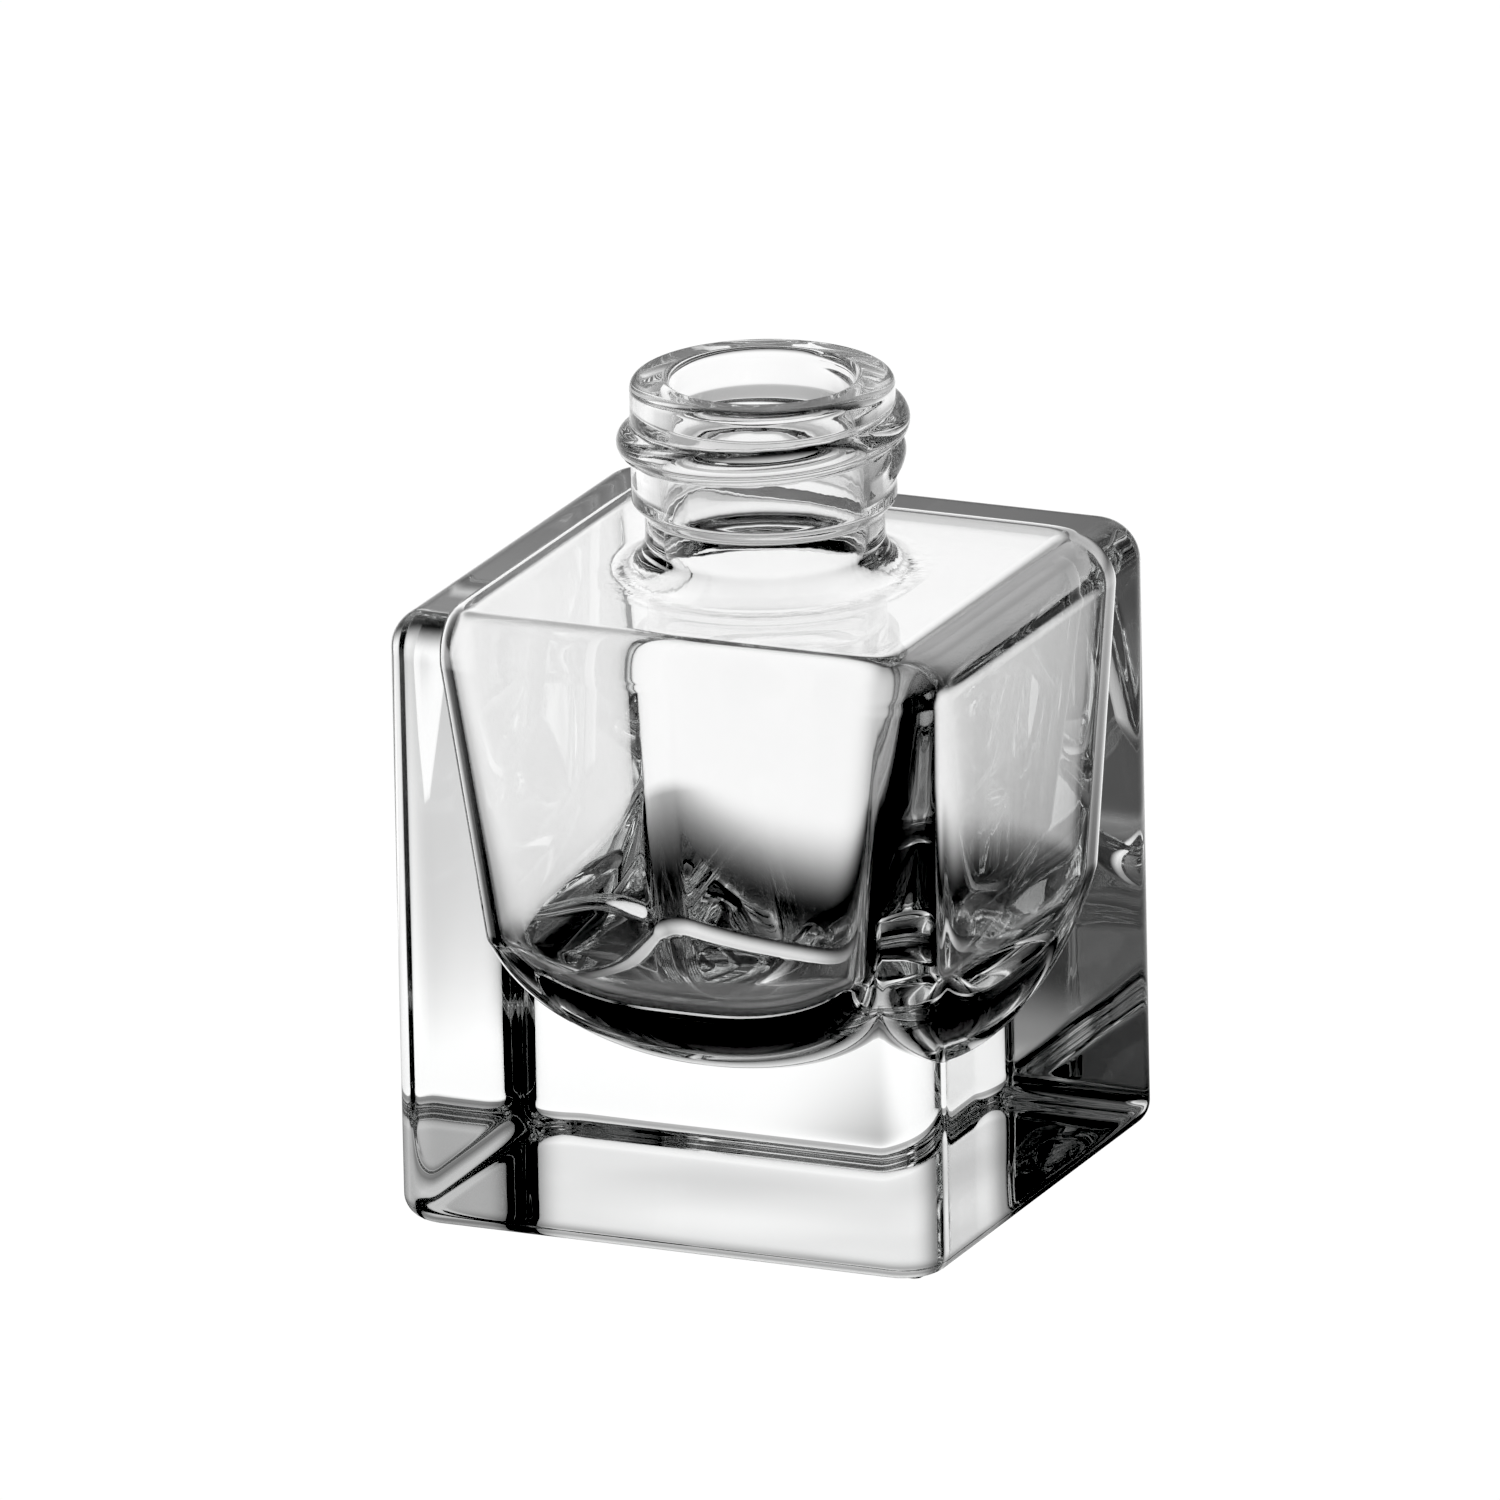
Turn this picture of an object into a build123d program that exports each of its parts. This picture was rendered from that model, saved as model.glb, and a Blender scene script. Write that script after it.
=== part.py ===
from build123d import *
import math
import os

# A square aftershave bottle of clear moulded glass, without its closure.
#
# The bottle is one moulding: a heavy square body, a flat shoulder, and a round neck with a
# single-start screw thread and a plain sealing rim.  Its hollow is a rounded, tapering cup
# that leaves thin walls under the shoulder and a thick base.
#
# Millimetres.  +Z is up.  The origin is on the bottle's axis, in the plane that it stands on.

# ---- the body's outside -----------------------------------------------------------------
SIDE = 48.2                # width and depth of the square body
SHOULDER_Z = 51.7          # height of the flat shoulder
CORNER_R = 4.2             # the four upright corners
SHOULDER_EDGE_R = 3.4      # the rounded border of the shoulder
HEEL_R = 2.0               # the rounded heel
PUNT_R = 15.5              # shallow dome under the base
PUNT_CROWN_R = 3.0         # its flat middle
PUNT_DEPTH = 0.15

# ---- the neck's outside -----------------------------------------------------------------
RIM_Z = 67.7               # height of the sealing rim
NECK_R = 10.8              # neck wall: half of the finish's E diameter
COLLAR_R = 9.75            # slimmer collar between the neck wall and the shoulder
COLLAR_TOP_Z = 56.4
NECK_FOOT_Z = 57.4         # the neck wall has its full radius from here up
COLLAR_FILLET_R = 2.9      # from the collar down onto the shoulder
RIM_OUTER_R = 0.9          # rounding of the rim's outer edge
RIM_INNER_R = 0.7          # rounding of the rim's inner edge
OVERLAP = 1.0              # how far joined or cut solids run into each other

# ---- the screw thread: single start, right hand -----------------------------------------
THREAD_PITCH = 3.175       # eight turns to the inch
THREAD_R = 11.95           # crest: half of the finish's T diameter
THREAD_BEAD_R = 1.45       # the bead's round section
THREAD_LOW_Z = 60.53       # height of the bead's middle at its lower end
THREAD_START_DEG = -6.0    # the lower end, from +X towards +Y
THREAD_END_DEG = 456.0     # the upper end
THREAD_RUN_OUT_DEG = 54.0  # turn over which each end sinks into the wall
THREAD_SINK = 1.35         # how far it sinks
THREAD_STEP_DEG = 11.0     # turn between the points of its spine

# ---- the neck's hollow ------------------------------------------------------------------
BORE_R = 7.5               # the mouth
BORE_LENGTH = 2.4          # straight wall under the rim's inner rounding
THROAT_R = 8.3             # below the mouth
THROAT_TAPER = 1.4         # height over which the mouth opens to the throat
THROAT_END_Z = 52.2        # the throat starts to flare here
FLARE_R = 3.2

# ---- the body's hollow ------------------------------------------------------------------
FLOOR_Z = 12.4
BOWL_TOP_Z = 28.0          # the bowl's rounding starts here
BOWL_POWER = 2.5           # profile of the bowl: 2 is an ellipse, more is squarer
CEILING_Z = 49.6
CEILING_HALF = 20.6        # half width under the shoulder
CEILING_EDGE_R = 2.0
LID_THICK = 2.2            # the slab that carries the ceiling's rounded edge
WALL_TAPER = 0.1135        # the walls lean in by this share of the height
CORNER_LOW_R = 7.2         # upright corners of the hollow at the floor
CORNER_HIGH_R = 3.9        # and at the ceiling
ROUNDEST = 0.9             # a section's corner radius never passes this share of its half width
BOWL_SECTIONS = (0.03, 0.1, 0.22, 0.45, 1.0)  # shares of the bowl's height
WALL_SECTIONS = (0.5, 1.0)                    # shares of the side walls' height


def smooth(share):
    """Ease from 0 to 1."""
    share = min(1.0, max(0.0, share))
    return share * share * (3 - 2 * share)


def body():
    """The solid square block with its rounded corners, shoulder border and heel."""
    block = extrude(RectangleRounded(SIDE, SIDE, CORNER_R), SHOULDER_Z)
    block = fillet(block.edges().group_by(Axis.Z)[-1], SHOULDER_EDGE_R)
    return fillet(block.edges().group_by(Axis.Z)[0], HEEL_R)


def turned(*outline):
    """A solid of revolution about the Z axis from a closed outline of lines and arcs."""
    return revolve(Plane.XZ * make_face(Curve() + list(outline)), Axis.Z)


def neck():
    """The solid neck, from inside the shoulder up to the rim."""
    low = SHOULDER_Z - OVERLAP
    fillet_foot = (COLLAR_R + COLLAR_FILLET_R, SHOULDER_Z)
    fillet_top = (COLLAR_R, SHOULDER_Z + COLLAR_FILLET_R)
    round_foot = (NECK_R, RIM_Z - RIM_OUTER_R)
    round_top = (NECK_R - RIM_OUTER_R, RIM_Z)
    return turned(
        Polyline((0, low), (fillet_foot[0], low), fillet_foot),
        RadiusArc(fillet_foot, fillet_top, COLLAR_FILLET_R),
        Polyline(fillet_top, (COLLAR_R, COLLAR_TOP_Z), (NECK_R, NECK_FOOT_Z), round_foot),
        RadiusArc(round_foot, round_top, -RIM_OUTER_R),
        Polyline(round_top, (0, RIM_Z), (0, low)),
    )


def thread_spine():
    """Points along the bead's middle: a helix whose ends sink into the neck's wall."""
    turn = THREAD_END_DEG - THREAD_START_DEG
    steps = round(turn / THREAD_STEP_DEG)
    points = []
    for step in range(steps + 1):
        gone = turn * step / steps
        out = smooth(min(gone, turn - gone) / THREAD_RUN_OUT_DEG)
        radius = THREAD_R - THREAD_BEAD_R - THREAD_SINK * (1 - out)
        angle = math.radians(THREAD_START_DEG + gone)
        height = THREAD_LOW_Z + THREAD_PITCH * gone / 360
        points.append((radius * math.cos(angle), radius * math.sin(angle), height))
    return points


def thread():
    """The round-sectioned bead wound up the neck."""
    path = Spline(*thread_spine())
    return sweep(Plane(path @ 0, z_dir=path % 0) * Circle(THREAD_BEAD_R), path=path)


def throat():
    """The hollow of the neck: the rim's inner rounding, the bore, the throat and its flare."""
    top = RIM_Z + OVERLAP
    round_top = (BORE_R + RIM_INNER_R, RIM_Z)
    bore_top = (BORE_R, RIM_Z - RIM_INNER_R)
    bore_end = (BORE_R, bore_top[1] - BORE_LENGTH)
    throat_top = (THROAT_R, bore_end[1] - THROAT_TAPER)
    throat_end = (THROAT_R, THROAT_END_Z)
    flare_end = (THROAT_R + FLARE_R, THROAT_END_Z - FLARE_R)
    low = flare_end[1] - OVERLAP
    return turned(
        Polyline((0, top), (round_top[0], top), round_top),
        RadiusArc(round_top, bore_top, -RIM_INNER_R),
        Polyline(bore_top, bore_end, throat_top, throat_end),
        RadiusArc(throat_end, flare_end, -FLARE_R),
        Polyline(flare_end, (flare_end[0], low), (0, low), (0, top)),
    )


def hollow_half(z):
    """Half width of the body's hollow at height z."""
    wall = CEILING_HALF - (CEILING_Z - z) * WALL_TAPER
    if z >= BOWL_TOP_Z:
        return wall
    drop = (BOWL_TOP_Z - z) / (BOWL_TOP_Z - FLOOR_Z)
    return wall * (1 - drop**BOWL_POWER) ** (1 / BOWL_POWER)


def hollow_corner(z):
    """Corner radius of the hollow's section at height z: rounder towards the floor."""
    rise = (z - FLOOR_Z) / (CEILING_Z - FLOOR_Z)
    radius = CORNER_LOW_R + (CORNER_HIGH_R - CORNER_LOW_R) * rise
    return min(radius, hollow_half(z) * ROUNDEST)


def hollow():
    """The rounded, tapering cup inside the body."""
    wall_top = CEILING_Z - LID_THICK
    heights = [FLOOR_Z + (BOWL_TOP_Z - FLOOR_Z) * share for share in BOWL_SECTIONS]
    heights += [BOWL_TOP_Z + (wall_top - BOWL_TOP_Z) * share for share in WALL_SECTIONS]
    sections = []
    for z in heights:
        width = 2 * hollow_half(z)
        sections.append(Pos(0, 0, z) * RectangleRounded(width, width, hollow_corner(z)))
    cup = loft(sections)
    lid = extrude(cup.faces().sort_by(Axis.Z)[-1], LID_THICK)
    return cup + fillet(lid.edges().group_by(Axis.Z)[-1], CEILING_EDGE_R)


def punt():
    """The shallow dished block cut from the base, so that the bottle stands on a flat border."""
    rim = (PUNT_R, 0)
    crown = (PUNT_CROWN_R, PUNT_DEPTH)
    bend = ((PUNT_R - PUNT_CROWN_R) ** 2 + PUNT_DEPTH**2) / (2 * PUNT_DEPTH)
    return turned(
        Polyline((0, -OVERLAP), (PUNT_R, -OVERLAP), rim),
        RadiusArc(rim, crown, -bend),
        Polyline(crown, (0, PUNT_DEPTH), (0, -OVERLAP)),
    )


glass_bottle = body() + neck() + thread() - throat() - hollow() - punt()

os.makedirs("parts", exist_ok=True)
export_step(glass_bottle, "parts/glass_bottle.step")
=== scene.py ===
import math

import bpy
import numpy as np
from mathutils import Matrix, Vector


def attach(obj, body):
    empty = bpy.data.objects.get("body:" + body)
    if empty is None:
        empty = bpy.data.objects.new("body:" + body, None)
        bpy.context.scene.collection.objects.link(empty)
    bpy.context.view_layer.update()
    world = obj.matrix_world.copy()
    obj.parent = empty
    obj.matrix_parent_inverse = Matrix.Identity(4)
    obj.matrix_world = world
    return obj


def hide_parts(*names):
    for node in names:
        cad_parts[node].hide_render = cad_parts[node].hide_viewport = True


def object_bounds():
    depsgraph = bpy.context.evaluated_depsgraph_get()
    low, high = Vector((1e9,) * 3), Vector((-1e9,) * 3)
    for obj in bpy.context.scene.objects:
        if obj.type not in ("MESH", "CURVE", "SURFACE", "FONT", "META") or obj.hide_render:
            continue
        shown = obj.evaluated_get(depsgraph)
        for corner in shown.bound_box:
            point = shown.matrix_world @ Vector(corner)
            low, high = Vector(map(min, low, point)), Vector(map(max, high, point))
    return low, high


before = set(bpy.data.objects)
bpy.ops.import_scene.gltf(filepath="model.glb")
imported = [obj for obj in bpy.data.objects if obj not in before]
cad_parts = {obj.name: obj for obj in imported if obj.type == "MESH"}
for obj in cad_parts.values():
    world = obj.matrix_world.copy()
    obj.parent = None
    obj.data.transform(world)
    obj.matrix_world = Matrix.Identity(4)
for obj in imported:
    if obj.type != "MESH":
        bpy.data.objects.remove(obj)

# A square, thick-based aftershave bottle of clear moulded glass, open and without its cap.
# Its shape is in millimetres, and MM turns that into the scene's metres.

MM = 0.001
cad_low, cad_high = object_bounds()

# ---- the bottle's outside ------------------------------------------------------------
HALF = (cad_high.x - cad_low.x) / 2 / MM      # half the body's width
SHOULDER_Z = 51.7
CORNER_R = 4.2                 # the four upright corners
SHOULDER_EDGE_R = 3.4
HEEL_R = 2.0
TIGHTEST_R = 0.6               # no upright corner is sharper, even on the flats
PUNT_R, PUNT_DEPTH = 15.5, 0.15               # the shallow dome under the base

RIM_Z = cad_high.z / MM
NECK_R, COLLAR_R = 10.8, 9.75
COLLAR_TOP_Z, NECK_FOOT_Z = 56.4, 57.4
COLLAR_FILLET_R = 2.9
COLLAR_FOOT_R = COLLAR_R + COLLAR_FILLET_R    # where the collar meets the shoulder
BORE_R, THROAT_R = 7.5, 8.3
BORE_END_Z, THROAT_TOP_Z = 64.6, 63.2
FLARE_R = 3.2                  # the throat opens into the hollow over this radius

# ---- its hollow ----------------------------------------------------------------------
CEILING_Z, CEILING_HALF, CEILING_EDGE_R = 49.6, 20.6, 2.0
WALL_TAPER = 0.1135            # the walls lean in by this share of the height
BOWL_TOP_Z, BOWL_POWER = 23.5, 2.4            # a power of 2 is an ellipse, and more is squarer
FLOOR_Z = 12.4
ROUND_HIGH, ROUND_BOWL = 0.17, 0.24           # corner radius over half width: ceiling, bowl's top

# ---- the screw thread: the inputs of its node tree -------------------------------------
THREAD = {
    "Pitch": 3.175 * MM,
    "Bead Radius": 1.45 * MM,
    "Bead Depth": 1.15 * MM,                  # how far it stands out of the wall
    "Foot Radius": 0.2 * MM,                  # it blends into the wall over about this much
    "Lower End Height": 60.53 * MM,
    "Lower End Angle": math.radians(-6),
    "Turns": 462 / 360,
    "Run Out Turns": 54 / 360,
    "Wall Low": 58.0 * MM,
    "Wall High": 66.9 * MM,
    "Wall Radius": (NECK_R - 0.2) * MM,       # only what is further out is moved
}

# ---- the skin of the glass -------------------------------------------------------------
STREAK_DEPTH, STREAK_SPACING = 0.002 * MM, 1.4 * MM
STREAK_STRETCH = 0.12          # the pattern's scale up the wall over that across it, so they run tall
THROAT_STREAKS = 14.0          # times deeper in the throat than in the body
WAVE_DEPTH, WAVE_SPACING = 0.02 * MM, 9.0 * MM

# ---- mesh density ----------------------------------------------------------------------
AROUND = 280                   # columns, a multiple of 8
CORNER_CROWD = 3.4             # how much closer the columns stand at the four corners
CORNER_SPREAD = math.radians(7.5)
SPACING_POINTS = 4001          # points that the columns' spacing is worked out on
PUNT_RINGS, BORDER_RINGS = 14, 6
EDGE_RINGS = 14                # over the heel, and over the shoulder's edge
SIDE_RINGS, SHOULDER_RINGS = 24, 10
CEILING_RINGS, CEILING_EDGE_RINGS = 7, 12
WALL_RINGS, BOWL_RINGS = 36, 48
FOOT_STEP, EDGE_STEP, CEILING_STEP = 0.3, 0.25, 0.2       # to the first ring beside a rounding
LAST_SQUARE, FIRST_ROUND = 0.6, 0.4                       # rings this far outside the collar's foot
ARC_STEP = math.radians(7)


# ======================================================================================
# Shape
# ======================================================================================

def column_angles():
    """Bearings of the mesh's columns: even steps, crowded towards the four corners."""
    fine = np.linspace(0, math.pi / 2, SPACING_POINTS)
    crowd = 1 + CORNER_CROWD * np.exp(-(((fine - math.pi / 4) / CORNER_SPREAD) ** 2))
    passed = np.concatenate([[0], np.cumsum((crowd[1:] + crowd[:-1]) / 2)])
    steps = np.arange(AROUND // 4) / (AROUND // 4)
    quarter = np.interp(steps, passed / passed[-1], fine)
    return np.concatenate([quarter + turn * math.pi / 2 for turn in range(4)])


def ring_points(half, corner, bearings, soft):
    """Points of a square with rounded corners; a corner as large as the half is a circle.

    A soft one is the superellipse that crosses the diagonals where the rounded square does.
    """
    corner = min(corner, half)
    if soft:
        power = -math.log(2) / math.log(1 - (1 - math.sqrt(0.5)) * corner / half)
        spread = np.abs(np.cos(bearings)) ** power + np.abs(np.sin(bearings)) ** power
        reach = half / spread ** (1 / power)
        return reach * np.cos(bearings), reach * np.sin(bearings)
    run = half - corner
    folded = np.abs((bearings + math.pi / 4) % (math.pi / 2) - math.pi / 4)
    along = run * (np.cos(folded) + np.sin(folded))
    on_arc = along + np.sqrt(np.maximum(along**2 - 2 * run**2 + corner**2, 0))
    on_flat = half / np.cos(folded)
    reach = np.where(half * np.tan(folded) <= run, on_flat, on_arc)
    return reach * np.cos(bearings), reach * np.sin(bearings)


def between(first, last, count):
    """Rings (half width, corner radius, height) stepping evenly from first to last."""
    steps = [k / count for k in range(1, count + 1)]
    return [tuple(a + (b - a) * s for a, b in zip(first, last)) for s in steps]


def quarter_steps(count):
    """Angles from just over 0 to a quarter turn."""
    return [math.pi / 2 * k / count for k in range(1, count + 1)]


def filleted(corners):
    """A turned outline of corners (radius, height, fillet radius, longest step of the run after)."""
    outline = []
    ends = []
    for k, (radius, z, fillet, step) in enumerate(corners):
        here = Vector((radius, z))
        if fillet == 0:
            ends.append((here, here, step, []))
            continue
        back = (Vector(corners[k - 1][:2]) - here).normalized()
        ahead = (Vector(corners[k + 1][:2]) - here).normalized()
        opening = back.angle(ahead)
        cut = fillet / math.tan(opening / 2)
        middle = here + (back + ahead).normalized() * (fillet / math.sin(opening / 2))
        first, last = here + back * cut, here + ahead * cut
        turn = math.pi - opening
        count = max(2, round(turn / ARC_STEP))
        start = first - middle
        way = 1 if start.cross(last - middle) > 0 else -1
        arc = []
        for s in range(1, count):
            spin = way * turn * s / count
            arc.append(middle + Matrix.Rotation(spin, 2) @ start)
        ends.append((first, last, step, arc))
    for k, (first, last, step, arc) in enumerate(ends):
        outline += [first] + arc + ([last] if arc else [])
        if k + 1 < len(ends):
            goal = ends[k + 1][0]
            count = max(1, math.ceil((goal - last).length / step))
            outline += [last.lerp(goal, s / count) for s in range(1, count)]
    return outline


def outside_rings():
    """From the middle of the base out, up the body and in over the shoulder."""
    rings = []
    for k in range(1, PUNT_RINGS + 1):
        radius = PUNT_R * k / PUNT_RINGS
        rings.append((radius, radius, PUNT_DEPTH * (1 + math.cos(math.pi * radius / PUNT_R)) / 2))
    foot = HALF - HEEL_R
    rings += between(rings[-1], (foot - FOOT_STEP, TIGHTEST_R, 0), BORDER_RINGS)
    rings.append((foot, TIGHTEST_R, 0))
    for turn in quarter_steps(EDGE_RINGS):
        inset = HEEL_R * (1 - math.sin(turn))
        rings.append((HALF - inset, max(TIGHTEST_R, CORNER_R - inset), HEEL_R * (1 - math.cos(turn))))
    top = SHOULDER_Z - SHOULDER_EDGE_R
    rings.append((HALF, CORNER_R, HEEL_R + EDGE_STEP))
    rings += between(rings[-1], (HALF, CORNER_R, top - EDGE_STEP), SIDE_RINGS)
    rings.append((HALF, CORNER_R, top))
    for turn in quarter_steps(EDGE_RINGS):
        inset = SHOULDER_EDGE_R * (1 - math.cos(turn))
        z = top + SHOULDER_EDGE_R * math.sin(turn)
        rings.append((HALF - inset, max(TIGHTEST_R, CORNER_R - inset), z))
    half, corner, z = rings[-1]
    rings.append((half - EDGE_STEP, corner, z))
    last = COLLAR_FOOT_R + LAST_SQUARE
    rings += between(rings[-1], (last, last, z), SHOULDER_RINGS)
    return rings


def neck_rings():
    """Up the neck, over the rim and down the throat to the ceiling of the hollow."""
    outline = filleted([
        (COLLAR_FOOT_R + FIRST_ROUND, SHOULDER_Z, 0, 1),
        (COLLAR_R, SHOULDER_Z, COLLAR_FILLET_R, 0.4),
        (COLLAR_R, COLLAR_TOP_Z, 0.5, 0.3),
        (NECK_R, NECK_FOOT_Z, 0.7, 0.15),
        (NECK_R, RIM_Z, 0.9, 0.6),
        (BORE_R, RIM_Z, 0.7, 0.6),
        (BORE_R, BORE_END_Z, 0.6, 0.5),
        (THROAT_R, THROAT_TOP_Z, 0.8, 1.2),
        (THROAT_R, CEILING_Z, FLARE_R, 0.8),
        (THROAT_R + FLARE_R + 1, CEILING_Z, 0, 1),
    ])
    return [(point.x, point.x, point.y) for point in outline]


def hollow_half(z):
    """Half width of the hollow at height z."""
    wall = CEILING_HALF - (CEILING_Z - z) * WALL_TAPER
    if z >= BOWL_TOP_Z:
        return wall
    drop = (BOWL_TOP_Z - z) / (BOWL_TOP_Z - FLOOR_Z)
    return wall * max(0, 1 - drop**BOWL_POWER) ** (1 / BOWL_POWER)


def hollow_corner(z):
    """Corner radius of the hollow at height z: rounder towards the floor."""
    if z >= BOWL_TOP_Z:
        rise = (z - BOWL_TOP_Z) / (CEILING_Z - BOWL_TOP_Z)
        return hollow_half(z) * (ROUND_BOWL + (ROUND_HIGH - ROUND_BOWL) * rise)
    drop = (BOWL_TOP_Z - z) / (BOWL_TOP_Z - FLOOR_Z)
    return hollow_half(z) * (ROUND_BOWL + (1 - ROUND_BOWL) * drop)


def hollow_rings(last_neck_ring):
    """From the throat out under the shoulder, down the walls and into the bowl."""
    wall_top = CEILING_Z - CEILING_EDGE_R
    half, corner = hollow_half(wall_top), hollow_corner(wall_top)
    inner = (half - CEILING_EDGE_R, max(corner - CEILING_EDGE_R, TIGHTEST_R), CEILING_Z)
    rings = between(last_neck_ring, (inner[0] - CEILING_STEP, inner[1], CEILING_Z), CEILING_RINGS)
    rings.append(inner)
    for turn in quarter_steps(CEILING_EDGE_RINGS):
        inset = CEILING_EDGE_R * (1 - math.sin(turn))
        z = CEILING_Z - CEILING_EDGE_R * (1 - math.cos(turn))
        rings.append((half - inset, max(corner - inset, TIGHTEST_R), z))
    heights = [wall_top + (BOWL_TOP_Z - wall_top) * k / WALL_RINGS for k in range(1, WALL_RINGS + 1)]
    for k in range(1, BOWL_RINGS):
        sunk = math.sin(math.pi / 2 * (k / BOWL_RINGS)) ** (2 / BOWL_POWER)
        heights.append(BOWL_TOP_Z - (BOWL_TOP_Z - FLOOR_Z) * sunk)
    return rings + [(hollow_half(z), hollow_corner(z), z) for z in heights]


def closed_mesh(name, crisp_rings, soft_rings, first_pole, last_pole, streaks):
    """A closed mesh of rings between two poles, with each ring's share of the streaks kept on it."""
    bearings = column_angles()
    rings = crisp_rings + soft_rings
    points = [(0, 0, first_pole)]
    for k, (half, corner, z) in enumerate(rings):
        xs, ys = ring_points(half, corner, bearings, k >= len(crisp_rings))
        points += [(x, y, z) for x, y in zip(xs, ys)]
    points.append((0, 0, last_pole))
    faces = [(0, 1 + (column + 1) % AROUND, 1 + column) for column in range(AROUND)]
    for k in range(len(rings) - 1):
        low, high = 1 + k * AROUND, 1 + (k + 1) * AROUND
        for column in range(AROUND):
            after = (column + 1) % AROUND
            faces.append((low + column, low + after, high + after, high + column))
    last = 1 + (len(rings) - 1) * AROUND
    for column in range(AROUND):
        faces.append((last + column, last + (column + 1) % AROUND, len(points) - 1))
    mesh = bpy.data.meshes.new(name)
    mesh.from_pydata([tuple(v * MM for v in point) for point in points], [], faces)
    mesh.polygons.foreach_set("use_smooth", [True] * len(faces))
    shares = [streaks[0]] + [share for share in streaks for column in range(AROUND)] + [streaks[-1]]
    mesh.attributes.new("streaks", "FLOAT", "POINT").data.foreach_set("value", shares)
    mesh.update()
    return mesh


# ======================================================================================
# Node helpers
# ======================================================================================

def node(tree, kind, settings=None, **inputs):
    """Adds a node with its settings, and fills its inputs by name or as i0, i1 and so on.

    A socket is linked, and any other value is set.
    """
    made = tree.nodes.new(kind)
    for key, value in (settings or {}).items():
        setattr(made, key, value)
    for key, value in inputs.items():
        numbered = key[0] == "i" and key[1:].isdigit()
        spot = made.inputs[int(key[1:]) if numbered else key.replace("_", " ")]
        if isinstance(value, bpy.types.NodeSocket):
            tree.links.new(value, spot)
        else:
            spot.default_value = value
    return made


def linear(hex_colour):
    """An sRGB hex colour as linear RGBA."""
    channels = [int(hex_colour[k : k + 2], 16) / 255 for k in (1, 3, 5)]
    bent = [c / 12.92 if c <= 0.04045 else ((c + 0.055) / 1.055) ** 2.4 for c in channels]
    return (*bent, 1.0)


def applied(host, tree, inputs):
    """The plain mesh that a node tree makes of an object, with the modifier gone again."""
    modifier = host.modifiers.new(tree.name, "NODES")
    modifier.node_group = tree
    for item in tree.interface.items_tree:
        if item.item_type == "SOCKET" and item.in_out == "INPUT" and item.name in inputs:
            modifier[item.identifier] = inputs[item.name]
    bpy.context.view_layer.update()
    evaluated = host.evaluated_get(bpy.context.evaluated_depsgraph_get())
    mesh = bpy.data.meshes.new_from_object(evaluated)
    host.modifiers.remove(modifier)
    return mesh


# ======================================================================================
# The screw thread, by Geometry Nodes
# ======================================================================================

# What the tree works out at each point: a name, an operation, and the names or numbers it is on.
THREAD_STEPS = [
    # where the point is: its distance from the axis, and its share of a turn past the lower end
    ("x squared", "MULTIPLY", "x", "x"),
    ("y squared", "MULTIPLY", "y", "y"),
    ("radius squared", "ADD", "x squared", "y squared"),
    ("radius", "SQRT", "radius squared"),
    ("heading", "ARCTAN2", "y", "x"),
    ("bearing", "SUBTRACT", "heading", "Lower End Angle"),
    ("circles", "DIVIDE", "bearing", 2 * math.pi),
    ("turn", "FRACT", "circles"),
    # the nearest place on the helix, as turns gone since the lower end
    ("rise", "SUBTRACT", "z", "Lower End Height"),
    ("climbed", "DIVIDE", "rise", "Pitch"),
    ("climbed past", "SUBTRACT", "climbed", "turn"),
    ("nearest", "ROUND", "climbed past"),
    ("turns left", "SUBTRACT", "Turns", "turn"),
    ("highest", "FLOOR", "turns left"),
    ("capped", "MINIMUM", "nearest", "highest"),
    ("whole turns", "MAXIMUM", "capped", 0.0),
    ("gone", "ADD", "turn", "whole turns"),
    # the bead's round section, standing out of the wall
    ("turns off", "SUBTRACT", "climbed", "gone"),
    ("off", "MULTIPLY", "turns off", "Pitch"),
    ("off squared", "MULTIPLY", "off", "off"),
    ("bead squared", "MULTIPLY", "Bead Radius", "Bead Radius"),
    ("reach squared", "SUBTRACT", "bead squared", "off squared"),
    ("reach kept", "MAXIMUM", "reach squared", 0.0),
    ("reach", "SQRT", "reach kept"),
    ("sunk", "SUBTRACT", "Bead Radius", "Bead Depth"),
    ("hump", "SUBTRACT", "reach", "sunk"),
    ("footed hump", "SMOOTH_MAX", "hump", 0.0, "Foot Radius"),
    # the bead sinks away at both ends
    ("to go", "SUBTRACT", "Turns", "gone"),
    ("from an end", "MINIMUM", "gone", "to go"),
    ("fade", "SMOOTHSTEP", "from an end", 0.0, "Run Out Turns"),
    ("lift", "MULTIPLY", "footed hump", "fade"),
    # only the neck's outer wall is moved, straight out from the axis
    ("above", "GREATER_THAN", "z", "Wall Low"),
    ("below", "LESS_THAN", "z", "Wall High"),
    ("outer", "GREATER_THAN", "radius", "Wall Radius"),
    ("level", "MULTIPLY", "above", "below"),
    ("chosen", "MULTIPLY", "level", "outer"),
    ("lift here", "MULTIPLY", "lift", "chosen"),
    ("growth", "DIVIDE", "lift here", "radius"),
    ("push x", "MULTIPLY", "x", "growth"),
    ("push y", "MULTIPLY", "y", "growth"),
]


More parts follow.
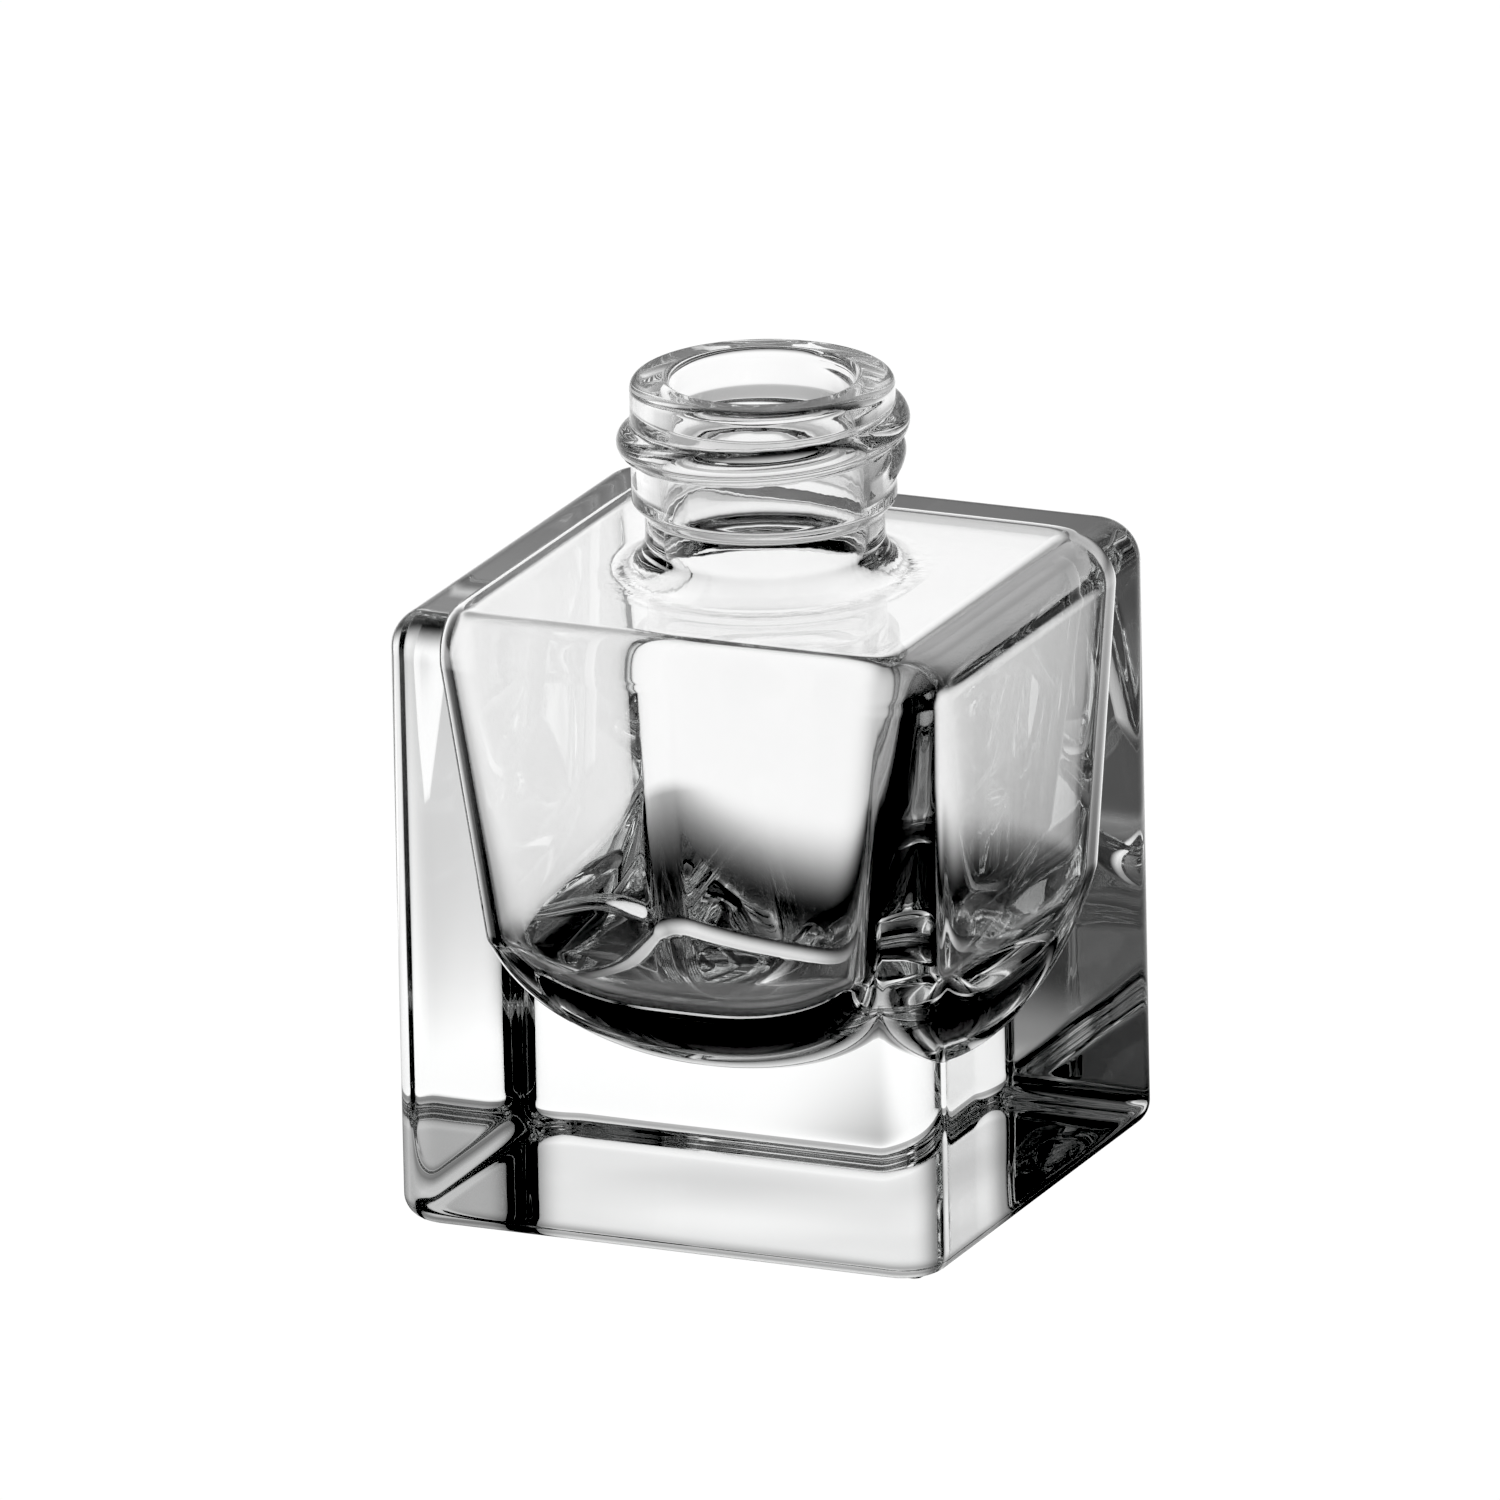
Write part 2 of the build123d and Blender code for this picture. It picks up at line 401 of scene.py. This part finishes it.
def thread_tree():
    """Raises a helical bead on the neck's wall: single start, right hand, both ends run out."""
    tree = bpy.data.node_groups.new("screw_thread", "GeometryNodeTree")
    face = tree.interface
    face.new_socket("Geometry", in_out="INPUT", socket_type="NodeSocketGeometry")
    for name in THREAD:
        face.new_socket(name, in_out="INPUT", socket_type="NodeSocketFloat")
    face.new_socket("Material", in_out="INPUT", socket_type="NodeSocketMaterial")
    face.new_socket("Geometry", in_out="OUTPUT", socket_type="NodeSocketGeometry")
    given = node(tree, "NodeGroupInput").outputs
    place = node(tree, "GeometryNodeInputPosition").outputs[0]
    x, y, z = node(tree, "ShaderNodeSeparateXYZ", Vector=place).outputs

    known = {"x": x, "y": y, "z": z, **{name: given[name] for name in THREAD}}
    for name, operation, *terms in THREAD_STEPS:
        eased = operation == "SMOOTHSTEP"
        kind = "ShaderNodeMapRange" if eased else "ShaderNodeMath"
        setting = "interpolation_type" if eased else "operation"
        inputs = {f"i{k}": known.get(term, term) for k, term in enumerate(terms)}
        known[name] = node(tree, kind, {setting: operation}, **inputs).outputs[0]

    push = node(tree, "ShaderNodeCombineXYZ", X=known["push x"], Y=known["push y"]).outputs[0]
    moved = node(tree, "GeometryNodeSetPosition", Geometry=given["Geometry"], Offset=push).outputs[0]
    real = node(tree, "GeometryNodeRealizeInstances", Geometry=moved).outputs[0]
    glazed = node(tree, "GeometryNodeSetMaterial", Geometry=real, Material=given["Material"]).outputs[0]
    node(tree, "NodeGroupOutput", Geometry=glazed)
    return tree


# ======================================================================================
# Materials
# ======================================================================================

def flint_glass():
    """Clear soda-lime flint glass, fire polished: sharp highlights and a trace of grey-green in depth."""
    material = bpy.data.materials.new("flint_glass")
    material.use_nodes = True
    tree = material.node_tree
    tree.nodes.clear()
    # the blown inside is faintly streaked down the walls, and all of it is a little uneven
    place = node(tree, "ShaderNodeTexCoord").outputs["Object"]
    tall = node(tree, "ShaderNodeMapping", Vector=place, Scale=(1, 1, STREAK_STRETCH)).outputs[0]
    streaks = node(tree, "ShaderNodeTexNoise", Vector=tall, Scale=1 / STREAK_SPACING, Detail=2.0)
    waves = node(tree, "ShaderNodeTexNoise", Vector=place, Scale=1 / WAVE_SPACING, Detail=0.0)
    share = node(tree, "ShaderNodeAttribute", {"attribute_name": "streaks"}).outputs["Fac"]
    depth = node(tree, "ShaderNodeMath", {"operation": "MULTIPLY"}, i0=share, i1=STREAK_DEPTH)
    wave = node(tree, "ShaderNodeMath", {"operation": "MULTIPLY"}, i0=waves.outputs["Fac"], i1=WAVE_DEPTH)
    height = node(tree, "ShaderNodeMath", {"operation": "MULTIPLY_ADD"},
                  i0=streaks.outputs["Fac"], i1=depth.outputs[0], i2=wave.outputs[0])
    skin = node(tree, "ShaderNodeBump", Strength=1.0, Distance=1.0, Height=height.outputs[0])
    shell = node(tree, "ShaderNodeBsdfPrincipled", Base_Color=linear("#ffffff"), Roughness=0.0,
                 IOR=1.52, Transmission_Weight=1.0, Normal=skin.outputs[0])
    tint = node(tree, "ShaderNodeVolumeAbsorption", Color=linear("#e6efec"), Density=1.2)
    node(tree, "ShaderNodeOutputMaterial", Surface=shell.outputs[0], Volume=tint.outputs[0])
    return material


def lit(name, strength, painted_sheen=False):
    """A surface that gives off white light; a strength may be a mesh attribute's name.

    With painted sheen, its glow is bright along its surface and dark straight down: a painted reflection,
    as a polished table shows.
    """
    material = bpy.data.materials.new(name)
    material.use_nodes = True
    material.cycles.emission_sampling = "NONE"
    tree = material.node_tree
    tree.nodes.clear()
    if isinstance(strength, str):
        strength = node(tree, "ShaderNodeAttribute", {"attribute_name": strength}).outputs["Fac"]
    if painted_sheen:
        # painted sheen: the glow fades from grazing views to straight down by Layer Weight's facing, a
        # painted reflection of a polished table
        facing = node(tree, "ShaderNodeLayerWeight", Blend=0.5).outputs["Facing"]
        painted_shine = node(tree, "ShaderNodeMapRange", {"interpolation_type": "SMOOTHSTEP"},
                     i0=facing, i1=PAINTED_SHEEN_STEEP, i2=PAINTED_SHEEN_SHALLOW, i3=PAINTED_SHEEN_DARK, i4=1.0).outputs[0]
        strength = node(tree, "ShaderNodeMath", {"operation": "MULTIPLY"}, i0=strength, i1=painted_shine).outputs[0]
    light = node(tree, "ShaderNodeEmission", Color=linear("#ffffff"), Strength=strength)
    node(tree, "ShaderNodeOutputMaterial", Surface=light.outputs[0])
    return material


# ======================================================================================
# The bottle
# ======================================================================================

def placed(name, mesh):
    """An object of a mesh or a camera, in the scene."""
    made = bpy.data.objects.new(name, mesh)
    bpy.context.scene.collection.objects.link(made)
    return made


def make_bottle():
    outside, neck = outside_rings(), neck_rings()
    hollow = hollow_rings(neck[-1])
    up_to_bore = next(k for k, ring in enumerate(neck) if ring[0] <= BORE_R)
    streaks = [0.0] * (len(outside) + up_to_bore)
    streaks += [THROAT_STREAKS] * (len(neck) - up_to_bore) + [1.0] * len(hollow)
    blank = placed("bottle_blank", closed_mesh(
        "bottle_blank", outside + neck, hollow, PUNT_DEPTH, FLOOR_Z, streaks))
    mesh = applied(blank, thread_tree(), {**THREAD, "Material": flint_glass()})
    mesh.name = "glass_bottle_visual"
    bpy.data.objects.remove(blank)
    bottle = placed("moulded_glass_bottle", mesh)
    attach(bottle, "root")
    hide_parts("glass_bottle")


# ======================================================================================
# Stage, light and camera
# ======================================================================================

BLACK_LEVEL, WHITE_LEVEL = 0.03, 0.98         # shown as black and as white

# Painted sheen: how the table's glow falls off, by the facing value of Layer Weight, as a painted
# reflection of a polished table.
PAINTED_SHEEN_STEEP, PAINTED_SHEEN_SHALLOW, PAINTED_SHEEN_DARK = 0.14, 0.52, 0.02

# Light given off by the table, by distance (mm, half the width of a square round the bottle) and
# then by bearing, every 30 degrees from 15 degrees past +X. It is painted light and shade of a floor lit
# from behind: the back is bright and the front dark, and the rows up to 22 mm are a painted shadow under
# the bottle.
TABLE_LIGHT = [
    (0, [0.02] * 12),
    (22, [0.02, 0.02, 0.08, 0.15, 0.15, 0.10, 0.05, 0.02, 0.02, 0.02, 0.05, 0.02]),
    (25, [0.00, 0.02, 0.45, 1.05, 1.05, 0.32, 0.06, 0.02, 0.01, 0.03, 0.12, 0.02]),
    (46, [0.00, 0.03, 0.50, 1.10, 1.10, 0.48, 0.09, 0.02, 0.01, 0.08, 0.20, 0.02]),
    (62, [0.00, 0.04, 0.60, 1.10, 1.12, 0.62, 0.18, 0.02, 0.01, 0.10, 0.25, 0.02]),
    (108, [0.02, 0.05, 0.72, 1.05, 1.10, 0.95, 0.40, 0.02, 0.01, 0.10, 0.30, 0.05]),
    (200, [0.03, 0.20, 0.50, 1.02, 1.05, 0.80, 0.40, 0.02, 0.02, 0.15, 0.30, 0.10]),
    (520, [0.03, 0.20, 0.40, 0.60, 0.65, 0.45, 0.30, 0.02, 0.02, 0.15, 0.30, 0.10]),
    (1100, [0.05, 0.20, 0.40, 0.60, 0.60, 0.40, 0.20, 0.02, 0.02, 0.20, 0.20, 0.10]),
]
# Light from the panels round the room, by height over the horizon (degrees) and the same bearings.
PANEL_LIGHT = [
    (-2, [0.00, 0.20, 0.35, 0.58, 0.58, 0.25, 0.10, 0.00, 0.00, 0.00, 0.00, 0.00]),
    (8, [0.00, 0.15, 0.25, 0.45, 0.45, 0.20, 0.08, 0.00, 0.00, 0.00, 0.00, 0.00]),
    (22, [0.00, 0.30, 0.60, 1.00, 1.00, 0.45, 0.20, 0.03, 0.00, 0.00, 0.00, 0.00]),
    (46, [0.03, 0.15, 0.55, 0.80, 0.80, 0.55, 0.15, 0.00, 0.00, 0.00, 0.00, 0.00]),
    (75, [0.15] * 12),
    (90, [0.15] * 12),
]


BEARING_STEP = 30              # degrees between the entries of a row
LIGHT_COLUMNS = 120            # points round each ring of light
DOME_STEP = 2                  # degrees between the rings of the panels
FLOOR_HALF = 6.0               # metres
TABLE_DROP = 0.5 * MM          # the lit table lies this far under the pale floor
TABLE_FINE, TABLE_GROWTH, TABLE_COARSE = 60, 1.06, 79     # rings 1 mm apart, then ever further
DOME_OVER_TABLE = 1.3          # the panels' distance over the table's reach
GLASS_BOUNCES = 32             # light crosses this many walls of glass

LENS, SENSOR = 772.34, 36.0    # mm
CAMERA_BEARING = math.radians(24.1852)        # from the front, -Y, towards +X
CAMERA_HEIGHT = math.radians(17.6678)         # over the horizon
CAMERA_ROLL = math.radians(-1.2316)
CAMERA_DISTANCE = 2.61916
CAMERA_AIM = Vector((-0.00289, 0.00248, 0.03476))


def brightness(rows, key, bearing):
    """Brightness at a distance or height and a bearing, smoothly between the table's entries."""
    entries = len(rows[0][1])
    spot = (bearing / BEARING_STEP - 0.5) % entries
    left = int(spot)
    right = (left + 1) % entries
    share = spot - left
    share = share * share * (3 - 2 * share)
    column = [row[left] * (1 - share) + row[right] * share for _, row in rows]
    return float(np.interp(key, [height for height, _ in rows], column))


def rings_of_light(name, rows, keys, place, painted_sheen=False):
    """Rings of light that the camera doesn't see, each point as bright as the table of rows says."""
    points, glow, faces = [], [], []
    for key in keys:
        for column in range(LIGHT_COLUMNS):
            bearing = 360 * column / LIGHT_COLUMNS
            points.append(place(key, math.radians(bearing)))
            glow.append(brightness(rows, key, bearing))
    for ring in range(len(keys) - 1):
        low, high = ring * LIGHT_COLUMNS, (ring + 1) * LIGHT_COLUMNS
        for column in range(LIGHT_COLUMNS):
            after = (column + 1) % LIGHT_COLUMNS
            faces.append((low + column, low + after, high + after, high + column))
    mesh = bpy.data.meshes.new(name)
    mesh.from_pydata(points, [], faces)
    mesh.attributes.new("glow", "FLOAT", "POINT").data.foreach_set("value", glow)
    mesh.materials.append(lit(name, "glow", painted_sheen))
    rings = placed(name, mesh)
    rings.visible_camera = False


def make_stage():
    """A pale floor for the camera, and for the glass a glowing table of painted light and shade, and panels
    in a dark room.
    """
    mesh = bpy.data.meshes.new("floor")
    corners = [(-1, -1), (1, -1), (1, 1), (-1, 1)]
    mesh.from_pydata([(x * FLOOR_HALF, y * FLOOR_HALF, 0) for x, y in corners], [], [(0, 1, 2, 3)])
    mesh.materials.append(lit("pale_floor", 1.0))
    floor = placed("floor", mesh)
    floor.visible_glossy = floor.visible_transmission = floor.visible_diffuse = False

    distances = [0.01] + [float(k) for k in range(1, TABLE_FINE + 1)]
    distances += [TABLE_FINE * TABLE_GROWTH**k for k in range(1, TABLE_COARSE)]
    reach = distances[-1] * MM * DOME_OVER_TABLE

    def on_table(distance, bearing):
        radius = distance * MM / max(abs(math.cos(bearing)), abs(math.sin(bearing)))
        return radius * math.cos(bearing), radius * math.sin(bearing), -TABLE_DROP

    def on_dome(height, bearing):
        up = math.radians(height)
        level = reach * math.cos(up)
        return level * math.cos(bearing), level * math.sin(bearing), reach * math.sin(up)

    # the table glows with painted light: a floor lit from behind, a painted shadow of the bottle, and
    # painted sheen
    rings_of_light("light_table", TABLE_LIGHT, distances, on_table, painted_sheen=True)
    heights = [*range(-DOME_STEP, 90, DOME_STEP), 89.9]
    rings_of_light("light_panels", PANEL_LIGHT, heights, on_dome)


def make_world():
    world = bpy.data.worlds.new("studio")
    bpy.context.scene.world = world
    world.use_nodes = True
    background = world.node_tree.nodes["Background"]
    background.inputs["Color"].default_value = linear("#ffffff")
    background.inputs["Strength"].default_value = 1.0


def make_camera():
    data = bpy.data.cameras.new("camera")
    data.lens, data.sensor_width = LENS, SENSOR
    data.clip_start, data.clip_end = 0.1, 50
    data.dof.use_dof = False
    camera = placed("camera", data)
    level = math.cos(CAMERA_HEIGHT)
    back = Vector((math.sin(CAMERA_BEARING) * level, -math.cos(CAMERA_BEARING) * level,
                   math.sin(CAMERA_HEIGHT)))
    turn = (-back).to_track_quat("-Z", "Y").to_matrix() @ Matrix.Rotation(CAMERA_ROLL, 3, "Z")
    camera.matrix_world = Matrix.Translation(CAMERA_AIM + back * CAMERA_DISTANCE) @ turn.to_4x4()
    bpy.context.scene.camera = camera


def make_view():
    """Plain colours with a little contrast, and enough bounces for thick glass."""
    view = bpy.context.scene.view_settings
    view.view_transform = "Standard"
    view.use_curve_mapping = True
    view.curve_mapping.black_level = (BLACK_LEVEL,) * 3
    view.curve_mapping.white_level = (WHITE_LEVEL,) * 3
    view.curve_mapping.update()
    cycles = bpy.context.scene.cycles
    cycles.max_bounces = cycles.transmission_bounces = cycles.glossy_bounces = GLASS_BOUNCES


make_bottle()
make_stage()
make_world()
make_camera()
make_view()
